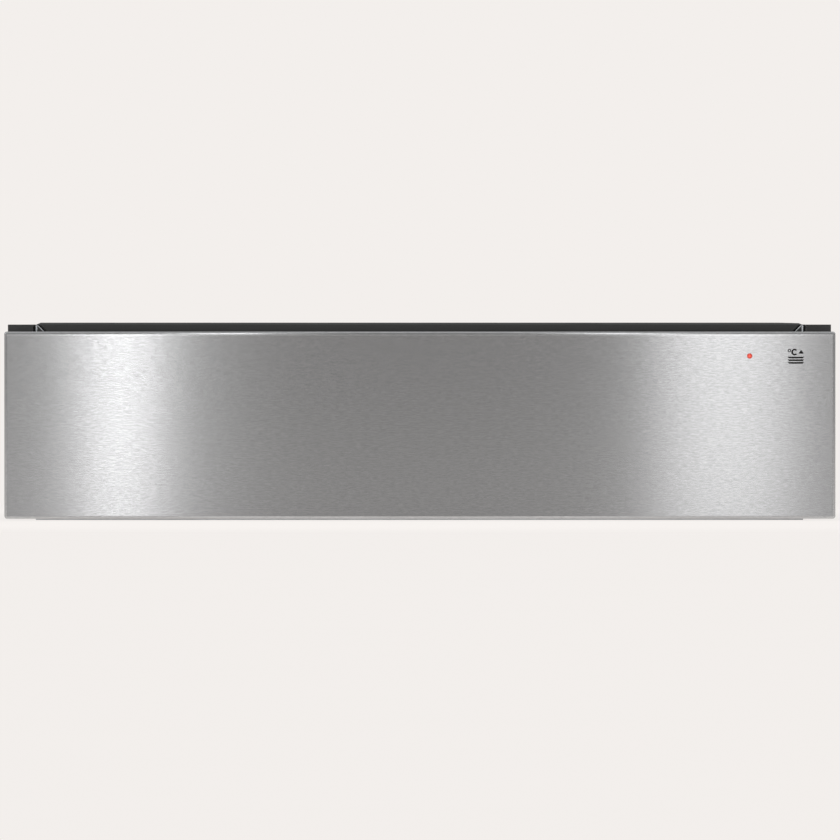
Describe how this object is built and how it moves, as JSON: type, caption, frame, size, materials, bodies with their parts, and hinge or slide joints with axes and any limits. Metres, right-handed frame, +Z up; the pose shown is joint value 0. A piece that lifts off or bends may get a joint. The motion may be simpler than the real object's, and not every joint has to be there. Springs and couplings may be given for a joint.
{
  "type": "built-in warming drawer",
  "caption": "Handle-less built-in warming drawer: brushed steel push-to-open front on a dark-edged sheet-steel housing with screw flanges, tray on telescopic runners, fan heater behind.",
  "frame": {"origin": "on the niche floor, under the middle of the closed appliance", "axes": "+Z up, the front faces -Y, +X to the right of someone facing the front"},
  "size_m": [0.595, 0.5403, 0.141],
  "materials": {
    "front_steel": "fine horizontal brushing, bevelled edges",
    "tray_steel": "satin sheet",
    "galvanised": "zinc-coated sheet",
    "housing_enamel": "dark grey satin coating",
    "runner_zinc": "bright zinc",
    "polished_steel": "polished",
    "screw_steel": "zinc plated",
    "mat_silicone": "matte ribbed",
    "bumper_rubber": "soft",
    "wool": "mineral wool mat",
    "red_lens": "translucent red",
    "clear_guide": "clear acrylic",
    "black_plastic": "fine texture",
    "rocker_plastic": "gloss",
    "knob_plastic": "ribbed grip",
    "pale_plastic": "natural",
    "motor_steel": "plain sheet",
    "lamp_glass": "neon lamp",
    "heater_steel": "heat-darkened tube",
    "pin_brass": "plain",
    "lead_sleeve": "heat-proof sleeve",
    "fan_aluminium": "plain sheet"
  },
  "bodies": {
    "housing": {"base_plate": "galvanised", "side_panel_left": "galvanised", "side_panel_right": "galvanised", "top_cover": "housing_enamel", "rear_panel": "galvanised", "mounting_flange_left": "housing_enamel", "mounting_flange_right": "housing_enamel", "front_bumpers": "bumper_rubber", "top_rail": "housing_enamel", "corner_gusset_left": "housing_enamel", "corner_gusset_right": "housing_enamel", "heat_shield": "galvanised", "roof_insulation": "wool", "rear_partition": "galvanised", "runner_outer_left": "runner_zinc", "runner_outer_right": "runner_zinc", "housing_screws": "screw_steel", "control_fascia": "black_plastic", "thermostat": "motor_steel", "pilot_lamp": "lamp_glass", "power_switch": "black_plastic", "fan_motor": "motor_steel", "fan_plate": "galvanised", "heating_element": "heater_steel", "thermal_cutout": "motor_steel", "terminal_block": "pale_plastic", "mains_inlet": "black_plastic", "inlet_pins": "pin_brass", "wiring_harness": "lead_sleeve", "rear_leads": "lead_sleeve", "cable_clips": "pale_plastic", "latch_body": "black_plastic"},
    "drawer": {"front_panel": "front_steel", "front_inner_panel": "tray_steel", "front_insulation": "wool", "indicator_lens": "red_lens", "light_guide": "clear_guide", "tray_base": "tray_steel", "tray_front": "tray_steel", "tray_side_left": "tray_steel", "tray_side_right": "tray_steel", "tray_back": "tray_steel", "tray_mat": "mat_silicone", "tray_screws": "screw_steel", "runner_inner_left": "runner_zinc", "runner_inner_right": "runner_zinc", "latch_striker": "galvanised"},
    "runner_middles": {"runner_middle_left": "runner_zinc", "runner_middle_right": "runner_zinc"},
    "outer_ball_rows": {"outer_ball_cages": "runner_zinc", "outer_balls": "polished_steel"},
    "inner_ball_rows": {"inner_ball_cages": "runner_zinc", "inner_balls": "polished_steel"},
    "knob": {"temperature_knob": "knob_plastic", "knob_shaft": "polished_steel"},
    "rocker": {"power_rocker": "rocker_plastic"},
    "fan": {"fan_wheel": "fan_aluminium", "motor_shaft": "polished_steel"},
    "plunger": {"latch_plunger": "pale_plastic"}
  },
  "joints": [
    {"name": "drawer_slide", "type": "slide", "parent": "housing", "child": "drawer", "axis": [0, -1, 0], "range_m": [-0.003, 0.38]},
    {"name": "runner_middle_slide", "type": "slide", "parent": "housing", "child": "runner_middles", "axis": [0, -1, 0], "range_m": [-0.0015, 0.19]},
    {"name": "outer_ball_slide", "type": "slide", "parent": "housing", "child": "outer_ball_rows", "axis": [0, -1, 0], "range_m": [-0.00075, 0.095]},
    {"name": "inner_ball_slide", "type": "slide", "parent": "housing", "child": "inner_ball_rows", "axis": [0, -1, 0], "range_m": [-0.00225, 0.285]},
    {"name": "temperature_turn", "type": "hinge", "parent": "housing", "child": "knob", "pos_m": [0.2, -0.238, 0.1215], "axis": [0, 1, 0], "range_deg": [0, 270]},
    {"name": "power_tip", "type": "hinge", "parent": "housing", "child": "rocker", "pos_m": [0.168, -0.2279, 0.1215], "axis": [-1, 0, 0], "range_deg": [0, 14]},
    {"name": "fan_spin", "type": "hinge", "parent": "housing", "child": "fan", "pos_m": [0, 0.19, 0.068], "axis": [0, 1, 0], "continuous": true},
    {"name": "plunger_press", "type": "slide", "parent": "housing", "child": "plunger", "axis": [0, 1, 0], "range_m": [0, 0.008], "stiffness_N_per_m": 600, "springref_m": -0.005}
  ],
  "couplings": [
    {"joint": "runner_middle_slide", "follows": "drawer_slide", "ratio": 0.5},
    {"joint": "outer_ball_slide", "follows": "drawer_slide", "ratio": 0.25},
    {"joint": "inner_ball_slide", "follows": "drawer_slide", "ratio": 0.75}
  ]
}
